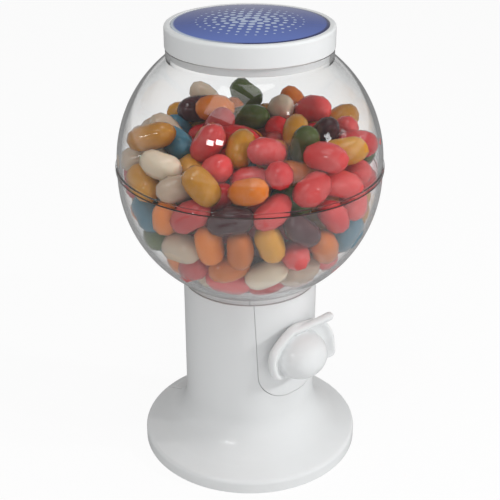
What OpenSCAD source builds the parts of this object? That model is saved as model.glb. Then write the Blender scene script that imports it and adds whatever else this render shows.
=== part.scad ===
// Table-top sweet dispenser: a clear globe of jelly beans on a flared pedestal.
// A turning knob at the front drives a pocketed wheel that drops beans down a
// chute to a mouth at the back of the foot.
// Units are millimetres. Z is up, the knob faces -Y, and the origin is the
// centre of the foot on the surface that the machine stands on.

/* [Pedestal] */
// Outer diameter of the foot
foot_d = 98.4; // [84:0.2:108]
// Height of the foot's rim where its top edge starts to round
foot_rim_h = 4.2; // [3.8:0.1:6]
// Radius of the rounded top edge of the foot
foot_edge_r = 2.2; // [1:0.1:3]
// Outer diameter of the column
column_d = 59; // [56:0.5:62]
// Height of the column's shoulder, where the globe's neck stands
column_h = 83; // [80:0.5:90]
// Radius of the hollow sweep between column and foot
flare_r = 18; // [14:0.5:20]
// Slope of the foot's top, in degrees
foot_slope = 20; // [12:1:26]
// Wall of the pedestal
shell_wall = 2; // [1.6:0.1:2.4]
// Height of the spigot that the globe's neck slips over
spigot_h = 4; // [3:0.1:4.4]

/* [Front panel] */
// Height of the panel's lower edge above the table
panel_bottom = 35.5; // [31:0.5:36.5]
// Half width of the panel's flat bottom edge
panel_half_bottom = 5.2; // [4.5:0.1:6.5]
// Radius of the panel's lower corners
panel_corner_r = 12; // [10:0.1:13]
// Outward lean of the panel's sides, in degrees
panel_lean = 2.4; // [1.5:0.1:4]
// Gap between the panel and the notch that it fills
panel_gap = 0.25; // [0.15:0.05:0.4]
// Width of the hidden lip that hooks behind the notch
panel_lip = 1.6; // [1:0.1:2]

/* [Globe] */
// Outer diameter of the globe
globe_d = 112; // [108:0.5:120]
// Wall of the clear globe
globe_wall = 1.8; // [1.4:0.1:2]
// Height of the neck below where the sphere meets it
neck_drop = 2.4; // [1.6:0.1:3.6]
// Straight belt of each half at the seam
belt_h = 2.5; // [2.4:0.1:3.2]
// Height of the upper half's lip over the seam
seam_lip_h = 2.2; // [1.4:0.1:2.3]
// How far the seam lip stands proud of the lower half
seam_lip_proud = 0.6; // [0.4:0.05:0.9]
// Outer diameter of the collar under the lid
collar_d = 68.4; // [62:0.2:72]
// Height of the collar above the sphere
collar_h = 4.4; // [3:0.1:6]

/* [Lid] */
// Outer diameter of the lid
lid_d = 69; // [64:0.2:74]
// Height of the lid above the collar
lid_h = 9.2; // [8:0.1:12]
// Radius of the lid's rounded top edge
lid_edge_r = 2.4; // [1.5:0.1:3]
// Wall of the lid
lid_wall = 1.8; // [1.4:0.1:2.2]
// Depth of the plug below the lid's lower edge
lid_plug_h = 3.4; // [2:0.1:4.4]
// Diameter of the round label
label_d = 63.4; // [56:0.2:64]
// Height of the label's domed face over its edge
label_dome = 1.3; // [0.6:0.1:2]
// Depth of the seat that the label lies in
label_seat = 0.8; // [0.5:0.1:1.2]

/* [Knob] */
// Depth of the knob's axis below the column's shoulder
knob_drop = 24; // [22.5:0.1:25]
// Half width of the knob across its wings
wing_r = 20; // [19:0.1:21]
// Half height of the knob's top and bottom edges
wing_half_h = 12.5; // [11.6:0.1:13.4]
// Distance that the wing tips curl forward
wing_curl = 3.2; // [2:0.1:3.6]
// Thickness of the wings
wing_t = 2; // [1.4:0.1:2.4]
// Radius of the rolled rim round the left wing
rim_r = 1.6; // [1.4:0.1:1.8]
// Radius of the knob's dome
dome_r = 12.2; // [10.5:0.1:12.4]
// Distance that the dome stands out from the back of the wings
dome_h = 14; // [12.6:0.1:15]
// Radius of the finger bead's free end
bead_r = 1.9; // [1.4:0.1:2.4]
// Height of the finger bead's free end over the back of the wings
bead_rise = 4.2; // [3:0.1:5]
// Gap between the knob and the panel
knob_gap = 1; // [0.5:0.1:1.5]

/* [Mechanism] */
// Diameter of the drive shaft
shaft_d = 6; // [5:0.1:7]
// Running clearance of the shaft on the radius
shaft_fit = 0.08; // [0.05:0.01:0.1]
// Diameter of the dispensing wheel
wheel_d = 27; // [25:0.5:28]
// Length of the dispensing wheel
wheel_len = 17; // [15:0.5:19]
// Diameter of the wheel's bean pocket
pocket_d = 15; // [13:0.5:15]
// Gap round the wheel in its housing
wheel_gap = 0.4; // [0.3:0.05:0.6]
// Wall of the wheel housing
housing_wall = 1.6; // [1.3:0.1:2]
// Inner diameter of the hopper's throat
throat_d = 18; // [16:0.5:19]
// Wall of the hopper and the chute
liner_wall = 1.5; // [1.2:0.1:2]
// Inner width of the chute
chute_w = 22; // [18:0.5:24]
// Height of the chute's side walls
chute_side = 9; // [6:0.5:10]
// Diameter of the self-tapping screws
screw_d = 2.6; // [2.2:0.1:3]
// Diameter of the screw heads
screw_head_d = 5; // [4.4:0.1:5.2]

/* [Foot fittings] */
// Thickness of the cover under the foot
cover_t = 2; // [1.5:0.1:2.4]
// Thickness of the rubber pads
pad_t = 1.2; // [0.8:0.1:1.6]
// Diameter of the rubber pads
pad_d = 10; // [8:0.5:12]
// Radius of the circle that the cover screws lie on
cover_screw_r = 36; // [34:0.5:37]

/* [Beans] */
// Length of a jelly bean
bean_l = 17; // [16:0.1:18]
// Thickness of a jelly bean
bean_d = 11.5; // [10.5:0.1:12]
// Gap between neighbouring beans
bean_gap = 0.3; // [0.2:0.05:0.5]
// Number of layers in the heap
bean_layers = 5; // [3:1:6]
// Seed of the mix of colours
bean_seed = 11; // [1:1:99]

/* [Hidden] */

$fn = 72;
eps = 0.01;
face_gap = 0.1;
far = 200;

white = "#eceeee";
clear = "#dfe6e880";
steel = "#b9bcc0";

// Pedestal
column_r = column_d / 2;
bore_r = column_r - shell_wall;
foot_r = foot_d / 2;
foot_top = foot_rim_h + foot_edge_r;
sweep = 90 - foot_slope;
flare_end_r = column_r + flare_r * (1 - cos(sweep));
foot_flat_r = foot_r - foot_edge_r * (1 - sin(foot_slope));
foot_fall = (foot_flat_r - flare_end_r) * tan(foot_slope);
foot_shoulder = foot_rim_h + foot_edge_r * cos(foot_slope);
flare_z = foot_shoulder + foot_fall + flare_r * sin(sweep);
arc_steps = 24;
globe_steps = 36;

// Globe
globe_r = globe_d / 2;
globe_in = globe_r - globe_wall;
neck_r = column_r;
neck_in = neck_r - globe_wall;
neck_fit = 0.15;
spigot_r = neck_in - neck_fit;
lower_centre = column_h + neck_drop + sqrt(globe_r * globe_r - neck_r * neck_r);
seam_z = lower_centre + belt_h;
upper_centre = seam_z + belt_h;
collar_r = collar_d / 2;
collar_z = upper_centre + sqrt(globe_r * globe_r - collar_r * collar_r);
collar_top = collar_z + collar_h;
mouth_r = collar_r - globe_wall;

// Lid
lid_r = lid_d / 2;
lid_top = collar_top + lid_h;
label_r = label_d / 2;
label_fit = 0.15;
label_z = lid_top - label_seat;
label_edge_t = 0.8;
plug_fit = 0.25;
plug_r = mouth_r - plug_fit;

// Panel
panel_in = spigot_r - shell_wall;
panel_top = column_h + spigot_h;
corner_z = panel_bottom + panel_corner_r;

// Mechanism; lengths along the knob's axis count forwards from the column's axis
knob_z = column_h - knob_drop;
shaft_r = shaft_d / 2;
shaft_bore = shaft_r + shaft_fit;
shaft_flat = 0.7;
key_fit = 0.05;
wheel_r = wheel_d / 2;
housing_in = wheel_r + wheel_gap;
housing_r = housing_in + housing_wall;
wheel_end = wheel_len / 2;
housing_end = wheel_end + wheel_gap + housing_wall;
shaft_tail = housing_end + 0.5;
tail_head_d = shaft_d + 2;
screw_head_h = 1.2;
screw_bite = 5;
ear_t = 2;
ear_r = screw_head_d / 2 + 1;
ear_circle = housing_r + screw_head_d / 2 + 0.3;
ear_angles = [40, 140];
knob_back = column_r + knob_gap;
knob_socket = 7;
hub_r = shaft_r + 3;
boss_r = shaft_r + 4;
washer_t = knob_gap - 0.2;
lip_t = 1.4;

// Knob outline seen from the front, from its free tip round the top, the left
// wing, the bottom and the right wing, and the sweep of the wings
wing_flat_r = 12;
wing_sweep_r = ((wing_r - wing_flat_r) * (wing_r - wing_flat_r) + wing_curl * wing_curl) / (2 * wing_curl);
dish_r = wing_r + 2.5;
wing_sweep = asin((dish_r - wing_flat_r) / wing_sweep_r);
wing_edge = [[wing_r - 2.6, wing_half_h - 4.9], [wing_r - 3.4, wing_half_h - 3.1],
    [8, wing_half_h - 1.1], [3, wing_half_h - 0.3], [-3.2, wing_half_h + 0.6], [-6, wing_half_h - 0.5],
    [6.6 - wing_r, wing_half_h - 4.4], [1.4 - wing_r, wing_half_h - 8.2], [1.4 - wing_r, -2],
    [3 - wing_r, -6.5], [4.6 - wing_r, 3.9 - wing_half_h], [10.6 - wing_r, 1.9 - wing_half_h],
    [-4, 0.5 - wing_half_h], [6, 0.1 - wing_half_h], [wing_r - 7.2, 2.1 - wing_half_h],
    [wing_r - 2.8, 2.8 - wing_half_h], [wing_r - 1.7, 4.8 - wing_half_h], [wing_r - 1.6, 0],
    [wing_r - 2.8, 5]];
rim_rise = 0.3;
ball_proud = 0.06;
rim_run = [[-5.4, wing_half_h - rim_r - 0.5], [7.4 - wing_r, wing_half_h - rim_r - 4.2],
    [1.4 + rim_r - wing_r, wing_half_h - 9], [1.4 + rim_r - wing_r, -1.7], [2.8 + rim_r - wing_r, -5.7],
    [4 + rim_r - wing_r, 3.8 + rim_r - wing_half_h], [7.2 + rim_r - wing_r, 2.6 + rim_r - wing_half_h]];

// Hopper and chute
hopper_rim = spigot_r - face_gap;
hopper_top = panel_top + liner_wall;
throat_r = throat_d / 2;
throat_out = throat_r + liner_wall;
throat_end = knob_z + housing_r + 0.3;
throat_top = throat_end + 2.5;
funnel_foot = throat_top + 1;
funnel_r = panel_in - face_gap;
funnel_in = funnel_r - liner_wall;
chute_front = -17;
chute_high = knob_z - housing_r - 6;
chute_low = foot_top + liner_wall;
chute_bend = bore_r + 3.5;
chute_lip = foot_flat_r - (chute_low - foot_shoulder) / tan(foot_slope);
chute_out = chute_w / 2 + liner_wall;
rib_l = 9;
rib_t = 2;
mouth_half_w = chute_out + 0.4;
mouth_spring = 20;
mouth_front = bore_r - 4;

// Foot fittings
cover_r = foot_r - shell_wall - 0.3;
cover_z = pad_t;
cover_top = cover_z + cover_t;
head_h = 1;
pad_circle = cover_r - pad_d / 2 - 1.5;
cover_screw_angles = [20, 160, 270];
cover_screw_bite = 3.5;
pad_angles = [55, 125, 215, 325];

// Beans
bean_r = bean_d / 2;
bean_half = (bean_l - bean_d) / 2;
bean_pitch = bean_d + bean_gap;

// Two beans lie side by side in the funnel, on its slope, and the first layer
// lies on the hopper's rim or on them
funnel_run = funnel_in - throat_r;
funnel_climb = hopper_top - funnel_foot;
funnel_slant = norm([funnel_run, funnel_climb]);
pair_reach = norm([bean_half, bean_pitch / 2]);
pair_z = funnel_foot
    + ((bean_r + bean_gap) * funnel_slant + (pair_reach - throat_r) * funnel_climb) / funnel_run;
bean_first = max(hopper_top + bean_gap + bean_r, pair_z + bean_pitch);

// Random values for the heap: each ring of each layer has its own place in the
// list, so a change of size leaves the other rings as they are
most_layers = 6;
most_rings = 5;
most_in_ring = 24;
ring_places = most_layers * most_rings;
bean_mix = rands(0, 1, ring_places * most_in_ring + 2, bean_seed);
bean_phase = rands(0, 360, ring_places, bean_seed + 1);
// Share of the mix at which each colour ends, in the order of the bean nodes
bean_shares = [0.14, 0.28, 0.43, 0.56, 0.66, 0.78, 0.9, 1.01];

// ---------------------------------------------------------------- profiles

function arc(cx, cy, r, from, to, n = arc_steps) =
    [for (i = [0:n]) let (a = from + (to - from) * i / n) [cx + r * cos(a), cy + r * sin(a)]];

// Outside of the pedestal as a half outline, drawn in by an inset
function pedestal_outline(inset, top) =
    let (edge = max(foot_edge_r - inset, 0.2), rim = foot_r - inset)
    concat([[0, 0], [rim, 0]],
        arc(rim - edge, foot_rim_h, edge, 0, sweep, 6),
        arc(column_r + flare_r, flare_z, flare_r + inset, 270 - foot_slope, 180),
        [[column_r - inset, top], [0, top]]);

// U shape of the front panel seen from the front, grown on all sides
module panel_outline(grow, top) {
    lean = [cos(panel_lean), -sin(panel_lean)];
    r = panel_corner_r + grow;
    side = [panel_half_bottom, corner_z] + r * lean;
    top_x = side[0] + (top - side[1]) * tan(panel_lean);
    polygon(concat(
        arc(panel_half_bottom, corner_z, r, -90, -panel_lean, 12),
        [[top_x, top], [-top_x, top]],
        arc(-panel_half_bottom, corner_z, r, 180 + panel_lean, 270, 12)));
}

// Front-facing prism of the panel outline, from the axis outwards
module panel_prism(grow, top) {
    rotate([90, 0, 0])
        linear_extrude(far)
            panel_outline(grow, top);
}

// Cylinder along the knob's axis between two distances in front of the axis
module along(r, from, to) {
    translate([0, -from, knob_z])
        rotate([90, 0, 0])
            cylinder(r = r, h = to - from);
}

// Puts children on the two screw ears of the wheel housing
module at_ears() {
    for (a = ear_angles)
        translate([ear_circle * cos(a), 0, ear_circle * sin(a)])
            children();
}

module at_angles(radius, angles) {
    for (a = angles)
        rotate(a)
            translate([radius, 0, 0])
                children();
}

// ---------------------------------------------------------------- pedestal

// Arched mouth at the back of the foot, wide enough for the chute
module mouth_cut() {
    translate([0, far, 0])
        rotate([90, 0, 0])
            linear_extrude(far - mouth_front)
                union() {
                    translate([0, mouth_spring])
                        circle(mouth_half_w);
                    translate([-mouth_half_w, foot_top])
                        square([2 * mouth_half_w, mouth_spring - foot_top]);
                }
}

module pedestal() {
    color(white)
        difference() {
            union() {
                difference() {
                    union() {
                        rotate_extrude() polygon(pedestal_outline(0, column_h));
                        cylinder(r = spigot_r, h = panel_top);
                    }
                    translate([0, 0, -eps])
                        rotate_extrude() polygon(pedestal_outline(shell_wall, column_h - shell_wall));
                    cylinder(r = panel_in, h = far);
                }
                intersection() {
                    rotate_extrude() polygon(pedestal_outline(eps, column_h));
                    at_angles(cover_screw_r, cover_screw_angles)
                        translate([0, 0, cover_top])
                            cylinder(d = screw_d + 4, h = flare_z);
                }
            }
            panel_prism(panel_gap, far);
            mouth_cut();
            at_angles(cover_screw_r, cover_screw_angles)
                cylinder(d = screw_d, h = cover_top + cover_screw_bite + 0.5);
        }
}

// Panel that fills the notch, with a boss for the knob's shaft and a lip that
// hooks behind the pedestal's wall
module front_panel() {
    lip_out = bore_r - face_gap;
    lip_in = lip_out - lip_t;
    color(white)
        difference() {
            union() {
                intersection() {
                    difference() {
                        union() {
                            cylinder(r = column_r, h = column_h);
                            cylinder(r = spigot_r, h = panel_top);
                        }
                        cylinder(r = lip_in, h = far);
                    }
                    panel_prism(0, panel_top);
                }
                intersection() {
                    difference() {
                        cylinder(r = lip_out, h = column_h - shell_wall - 1);
                        cylinder(r = lip_in, h = far);
                    }
                    panel_prism(panel_lip, column_h - shell_wall - 1);
                }
                intersection() {
                    union() {
                        along(boss_r, housing_end + wheel_gap, column_r);
                        at_ears() along(ear_r, housing_end, column_r);
                    }
                    cylinder(r = column_r - shell_wall / 2, h = far);
                }
            }
            along(shaft_bore, 0, far);
            at_ears() along(screw_d / 2, 0, housing_end + screw_bite + 1);
        }
}

module foot_cover() {
    color(white)
        difference() {
            translate([0, 0, cover_z])
                cylinder(r = cover_r, h = cover_t);
            at_angles(cover_screw_r, cover_screw_angles) {
                cylinder(d = screw_d + 0.2, h = far);
                cylinder(d = screw_head_d + 0.4, h = cover_z + head_h);
            }
        }
}

module foot_pads() {
    color("#3a3c3e")
        at_angles(pad_circle, pad_angles)
            cylinder(d = pad_d, h = pad_t);
}

module cover_screws() {
    color(steel)
        at_angles(cover_screw_r, cover_screw_angles)
            translate([0, 0, cover_z]) {
                cylinder(d = screw_head_d, h = head_h);
                cylinder(d = screw_d - 0.1, h = cover_t + cover_screw_bite);
            }
}

// ---------------------------------------------------------------- globe

// Lower half: neck, bowl and a belt up to the seam
module lower_globe() {
    outer_from = -acos(neck_r / globe_r);
    inner_to = -asin((lower_centre - panel_top) / globe_in);
    color(clear)
        rotate_extrude()
            polygon(concat(
                [[neck_in, column_h], [neck_r, column_h]],
                arc(0, lower_centre, globe_r, outer_from, 0, globe_steps),
                [[globe_r, seam_z], [globe_in, seam_z]],
                arc(0, lower_centre, globe_in, 0, inner_to, globe_steps),
                [[neck_in, panel_top]]));
}

// Upper half: the proud seam lip, the dome and the collar for the lid
module upper_globe() {
    color(clear)
        rotate_extrude()
            polygon(concat(
                [[globe_in, seam_z], [globe_r + seam_lip_proud, seam_z],
                [globe_r + seam_lip_proud, seam_z + seam_lip_h], [globe_r, seam_z + seam_lip_h]],
                arc(0, upper_centre, globe_r, 0, acos(collar_r / globe_r), globe_steps),
                [[collar_r, collar_top], [mouth_r, collar_top]],
                arc(0, upper_centre, globe_in, acos(mouth_r / globe_in), 0, globe_steps)));
}

// ---------------------------------------------------------------- lid

// Cap with a rounded edge, a seat for the label and a plug for the mouth
module lid() {
    color(white)
        rotate_extrude()
            polygon(concat(
                [[plug_r, collar_top], [lid_r, collar_top]],
                arc(lid_r - lid_edge_r, lid_top - lid_edge_r, lid_edge_r, 0, 90, 8),
                [[label_r + label_fit, lid_top], [label_r + label_fit, label_z], [0, label_z]],
                [[0, label_z - lid_wall], [plug_r - lid_wall, label_z - lid_wall]],
                [[plug_r - lid_wall, collar_top - lid_plug_h], [plug_r, collar_top - lid_plug_h]]));
}

// Domed resin label that fills the seat
module lid_label() {
    steps = 12;
    color("#3f51a3")
        rotate_extrude()
            polygon(concat(
                [[0, label_z], [label_r, label_z]],
                [for (i = [steps:-1:0])
                    [label_r * i / steps, label_z + label_edge_t + label_dome * (1 - pow(i / steps, 2))]]));
}

// ---------------------------------------------------------------- mechanism

// Funnel whose rim lies on the spigot and whose throat ends over the wheel
module hopper() {
    color(white)
        rotate_extrude()
            polygon([[throat_r, throat_end], [throat_out, throat_end], [throat_out, throat_top],
                [funnel_r, panel_top - 1], [funnel_r, panel_top], [hopper_rim, panel_top],
                [hopper_rim, hopper_top], [funnel_in, hopper_top], [throat_r, funnel_foot]]);
}

// Drum round the wheel, open to the throat above and the chute below
module wheel_housing() {
    color(white)
        difference() {
            union() {
                along(housing_r, -housing_end, housing_end);
                at_ears() along(ear_r, housing_end - ear_t, housing_end);
            }
            along(housing_in, -housing_end + housing_wall, housing_end - housing_wall);
            along(shaft_bore, -far, far);
            at_ears() along(screw_d / 2 + 0.1, 0, far);
            translate([0, 0, knob_z])
                cylinder(r = throat_r, h = far);
            translate([0, 0, knob_z - far])
                cylinder(d = pocket_d, h = far);
        }
}

module housing_screws() {
    color(steel)
        at_ears() {
            along(screw_head_d / 2, housing_end - ear_t - screw_head_h, housing_end - ear_t);
            along(screw_d / 2 - 0.05, housing_end - ear_t, housing_end + screw_bite);
        }
}

// Height of the middle of the chute's sloping floor
function chute_floor(y) =
    chute_high - liner_wall / 2 + (chute_low - chute_high) * (y - chute_front) / (chute_bend - chute_front);

// Side view of the chute's floor, drawn as [distance back, height]
module chute_side_view(rise) {
    polygon([[chute_front, chute_high - liner_wall], [chute_bend, chute_low - liner_wall],
        [chute_lip, chute_low - liner_wall], [chute_lip, chute_low + rise],
        [chute_bend, chute_low + rise], [chute_front, chute_high + rise]]);
}

module chute_slab(half_w, rise) {
    translate([-half_w, 0, 0])
        rotate([90, 0, 90])
            linear_extrude(2 * half_w)
                chute_side_view(rise);
}

// Slide from under the wheel to the mouth, standing on a rib
module chute() {
    color(white)
        union() {
            intersection() {
                difference() {
                    chute_slab(chute_out, chute_side);
                    translate([0, 0, liner_wall])
                        chute_slab(chute_w / 2, far);
                }
                rotate_extrude() polygon(pedestal_outline(0, column_h));
            }
            translate([-rib_t / 2, 0, 0])
                rotate([90, 0, 90])
                    linear_extrude(rib_t)
                        polygon([[chute_front, cover_top], [chute_front + rib_l, cover_top],
                            [chute_front + rib_l, chute_floor(chute_front + rib_l)],
                            [chute_front, chute_floor(chute_front)]]);
        }
}

// Flat that keys the shaft to the knob and the wheel
module key_flat(from, to, fit) {
    translate([-shaft_r - 1, -to, knob_z + shaft_r - shaft_flat + fit])
        cube([shaft_d + 2, to - from, shaft_d]);
}

module keyed_bore(from, to) {
    difference() {
        along(shaft_r + key_fit, from, to);
        key_flat(from, to, key_fit);
    }
}

module drive_shaft() {
    color(white)
        difference() {
            along(shaft_r, -shaft_tail, knob_back + knob_socket);
            key_flat(knob_back, knob_back + knob_socket + 1, 0);
            key_flat(-wheel_end, wheel_end, 0);
            along(screw_d / 2, -shaft_tail - 1, -shaft_tail + screw_bite + 1);
        }
}

// Wheel with a bean pocket at top and bottom
module dispensing_wheel() {
    pocket_floor = shaft_r + 1.5;
    color(white)
        difference() {
            along(wheel_r, -wheel_end, wheel_end);
            keyed_bore(-wheel_end - 1, wheel_end + 1);
            for (turn = [0, 180])
                translate([0, 0, knob_z])
                    rotate([0, turn, 0])
                        translate([0, 0, pocket_floor])
                            cylinder(d = pocket_d, h = wheel_d);
        }
}

module wheel_screw() {
    color(steel) {
        along(tail_head_d / 2, -shaft_tail - screw_head_h, -shaft_tail);
        along(screw_d / 2 - 0.05, -shaft_tail, -shaft_tail + screw_bite);
    }
}

module thrust_washer() {
    color(steel)
        difference() {
            along(hub_r, knob_back - face_gap - washer_t, knob_back - face_gap);
            along(shaft_bore, 0, far);
        }
}

// ---------------------------------------------------------------- knob

// Prism of the wings' outline, open past both ends of the knob
module wing_prism() {
    translate([0, 0, -1])
        linear_extrude(far)
            polygon(wing_edge);
}

// Dish that the wings are cut from: flat in the middle, curling forward
module wing_dish() {
    rotate_extrude()
        polygon(concat(
            [[0, 0]],
            arc(wing_flat_r, wing_sweep_r, wing_sweep_r, 270, 270 + wing_sweep, 10),
            arc(wing_flat_r, wing_sweep_r, wing_sweep_r - wing_t, 270 + wing_sweep, 270, 10),
            [[0, wing_t]]));
}

// Height of the wings' back face at a point of the dish
function dish_back(p) =
    let (out = max(norm(p) - wing_flat_r, 0))
    wing_sweep_r - sqrt(wing_sweep_r * wing_sweep_r - out * out);

// Middle of the rolled rim over a point of the dish
function rim_at(p) = [p[0], p[1], dish_back(p) + rim_rise + rim_r];

// Round bead from one point to another, with a ball a little wider at its end
module bead(from, to, from_r, to_r) {
    span = to - from;
    translate(from)
        rotate([0, acos(span[2] / norm(span)), atan2(span[1], span[0])]) {
            cylinder(r1 = from_r - ball_proud, r2 = to_r - ball_proud, h = norm(span));
            translate([0, 0, norm(span)])
                sphere(to_r);
        }
}

// Rolled rim: a finger bead along the top, thicker towards its free end, and
// a bead round the left wing down to its foot
module rolled_rim() {
    bead(rim_at(rim_run[0]), [wing_r - 4.3, wing_half_h - 1.9, bead_rise], rim_r, bead_r);
    translate(rim_at(rim_run[0]))
        sphere(rim_r);
    for (i = [1:len(rim_run) - 1])
        bead(rim_at(rim_run[i - 1]), rim_at(rim_run[i]), rim_r, rim_r);
}

// Two-winged knob with a domed middle, made lying on its back
module knob() {
    color(white)
        translate([0, -knob_back, knob_z])
            rotate([90, 0, 0])
                difference() {
                    union() {
                        intersection() {
                            wing_dish();
                            wing_prism();
                        }
                        rolled_rim();
                        cylinder(r = dome_r, h = dome_h - dome_r);
                        intersection() {
                            translate([0, 0, dome_h - dome_r])
                                sphere(dome_r);
                            cylinder(r = dome_r + 1, h = far);
                        }
                    }
                    difference() {
                        translate([0, 0, -1])
                            cylinder(r = shaft_r + key_fit, h = knob_socket + 1 + face_gap);
                        translate([-shaft_d, shaft_r - shaft_flat + key_fit, -1])
                            cube([2 * shaft_d, shaft_d, 2 * knob_socket]);
                    }
                }
}

// ---------------------------------------------------------------- beans

// One bean lying along X with its middle at the origin
module bean() {
    rotate([0, 90, 0])
        rotate_extrude($fn = 24)
            intersection() {
                union() {
                    for (end = [-1, 1])
                        translate([0, end * bean_half])
                            circle(bean_r);
                    square([bean_d, 2 * bean_half], center = true);
                }
                translate([0, -bean_l])
                    square([bean_d, 2 * bean_l]);
            }
}

// Layer k of the heap lies at this height
function layer_z(k) = bean_first + k * bean_pitch;

// Radius round the axis within which a layer's bean ends clear the globe
function layer_clear(k) =
    let (z = layer_z(k), below = max(lower_centre - z, z - upper_centre, 0))
    let (clear_r = globe_in - bean_r - bean_gap)
    sqrt(clear_r * clear_r - below * below);

// Most beans that fit round a ring of a given radius
function ring_count(r) =
    let (reach = norm([r, bean_half]), touch = (bean_pitch / 2) / reach)
    floor(180 / (atan(bean_half / r) + asin(touch)));

// Rings of a layer as [radius, count, phase, place in the mix], each as wide as
// the ring outside it allows; where only one bean fits, its end points at a bean
// of that ring
function rings(k, i, clear, outside) =
    clear < bean_half
        ? []
        : let (r = sqrt(clear * clear - bean_half * bean_half), alone = clear < pair_reach)
            let (seat = k * most_rings + i)
            let (phase = alone ? outside - atan2(bean_half, r) : bean_phase[seat])
            concat([[r, alone ? 1 : ring_count(r), phase, seat * most_in_ring]],
                rings(k, i + 1, r - bean_pitch, phase));

// Every bean as [x, y, z, turn, mix]
heap = concat(
    [for (side = [-1, 1]) [0, side * bean_pitch / 2, pair_z, 0, bean_mix[len(bean_mix) - 2 + side]]],
    [for (k = [0:bean_layers - 1])
        for (ring = rings(k, 0, layer_clear(k), 0))
            for (j = [0:ring[1] - 1])
                let (a = ring[2] + 360 * j / ring[1])
                [ring[0] * cos(a), ring[0] * sin(a), layer_z(k), a + 90, bean_mix[ring[3] + j]]]);

// Beans of one colour, picked from the heap by the mix
module beans(index) {
    low = index == 0 ? -1 : bean_shares[index - 1];
    high = bean_shares[index];
    for (place = heap)
        if (place[4] > low && place[4] <= high)
            translate([place[0], place[1], place[2]])
                rotate(place[3])
                    bean();
}

pedestal();
front_panel();
foot_cover();
foot_pads();
cover_screws();
lower_globe();
upper_globe();
lid();
lid_label();
hopper();
wheel_housing();
housing_screws();
chute();
knob();
drive_shaft();
dispensing_wheel();
wheel_screw();
thrust_washer();
color("#c4262c") beans(0);  // beans_red
color("#d65a60") beans(1);  // beans_coral
color("#d8752a") beans(2);  // beans_orange
color("#c08a34") beans(3);  // beans_amber
color("#4c5a2c") beans(4);  // beans_green
color("#4f8798") beans(5);  // beans_teal
color("#dcccb4") beans(6);  // beans_cream
color("#4a1f2b") beans(7);  // beans_plum
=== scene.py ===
# %% [markdown]
# # A table-top gumball machine, finished in Blender
#
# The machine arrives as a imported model: every casing, screw and wheel is already
# the right size and in the right place. What is still missing is its surface:
# clear plastic that catches the room, glossy white mouldings, a domed label, a
# soft-edged knob, and a real heap of jelly beans instead of tidy rows.
#
# Everything is in metres, Z is up, the knob faces -Y and the foot stands on Z = 0.

# %% Load the machine
import math
import random

import bmesh
import bpy
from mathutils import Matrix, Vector


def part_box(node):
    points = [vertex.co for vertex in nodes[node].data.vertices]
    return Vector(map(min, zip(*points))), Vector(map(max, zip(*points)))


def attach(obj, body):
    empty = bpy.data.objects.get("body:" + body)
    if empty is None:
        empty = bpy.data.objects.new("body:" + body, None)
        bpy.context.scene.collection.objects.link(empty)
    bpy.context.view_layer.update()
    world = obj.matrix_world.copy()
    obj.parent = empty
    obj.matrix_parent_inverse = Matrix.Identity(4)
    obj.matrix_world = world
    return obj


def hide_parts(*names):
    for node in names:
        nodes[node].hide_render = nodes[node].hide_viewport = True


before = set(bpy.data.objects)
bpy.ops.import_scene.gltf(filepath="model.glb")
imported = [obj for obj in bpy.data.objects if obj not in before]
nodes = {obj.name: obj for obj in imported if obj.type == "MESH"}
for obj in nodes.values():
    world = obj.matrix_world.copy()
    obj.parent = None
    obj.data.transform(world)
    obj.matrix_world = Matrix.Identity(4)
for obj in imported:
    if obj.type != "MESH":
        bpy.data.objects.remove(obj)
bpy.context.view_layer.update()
scene = bpy.context.scene

# %% [markdown]
# ## The camera
#
# The view looks down on the machine from its front left, from about arm's
# length. A camera is easiest to check when it is described the way a person
# would say it: how far away, how high, how steeply it looks down and from which
# side, and how many pixels wide one unit looks at unit distance.

# %% Set up the camera
IMAGE_SIDE = 500
FOCAL_PIXELS = 1045
SENSOR = 36.0
CAMERA_SIDE = math.radians(-43.0)
CAMERA_AWAY = 0.413
CAMERA_UP = 0.2995
CAMERA_DOWN = math.radians(26.35)

camera_data = bpy.data.cameras.new("camera")
camera_data.sensor_width = SENSOR
camera_data.lens = FOCAL_PIXELS / IMAGE_SIDE * SENSOR
camera_data.clip_start = 0.01
camera = bpy.data.objects.new("camera", camera_data)
scene.collection.objects.link(camera)
camera.location = (CAMERA_AWAY * math.sin(CAMERA_SIDE), -CAMERA_AWAY * math.cos(CAMERA_SIDE), CAMERA_UP)
camera.rotation_euler = (math.pi / 2 - CAMERA_DOWN, 0, CAMERA_SIDE)
scene.camera = camera
scene.view_settings.view_transform = "Standard"


# %% [markdown]
# ## Small helpers for node trees
#
# A node tree written out call by call is hard to read. One helper adds a node,
# sets its options and connects or fills its inputs, so that each line below
# says what one node does.

# %% Helpers for shader and geometry trees
def adjust(thing, **settings):
    """Set several properties of one thing."""
    for name, value in settings.items():
        setattr(thing, name, value)


def connect(tree, socket, value):
    """Fill a socket with a plain value, an output or a node's first output."""
    if isinstance(value, bpy.types.Node):
        value = value.outputs[0]
    if isinstance(value, bpy.types.NodeSocket):
        tree.links.new(value, socket)
    else:
        socket.default_value = value


def place(tree, kind, inputs=(), **settings):
    """Add a node, set its options and fill its inputs."""
    node = tree.nodes.new(kind)
    adjust(node, **settings)
    for name, value in dict(inputs).items():
        connect(tree, node.inputs[name], value)
    return node


def calculate(tree, operation, *values):
    """A Math node, with its inputs in order."""
    return place(tree, "ShaderNodeMath", enumerate(values), operation=operation).outputs[0]


def plus(tree, a, b):
    return calculate(tree, "ADD", a, b)


def minus(tree, a, b):
    return calculate(tree, "SUBTRACT", a, b)


def times(tree, a, b):
    return calculate(tree, "MULTIPLY", a, b)


def divided(tree, a, b):
    return calculate(tree, "DIVIDE", a, b)


MIX_FACTOR, MIX_A, MIX_B, MIX_RESULT = 0, 6, 7, 2


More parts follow.
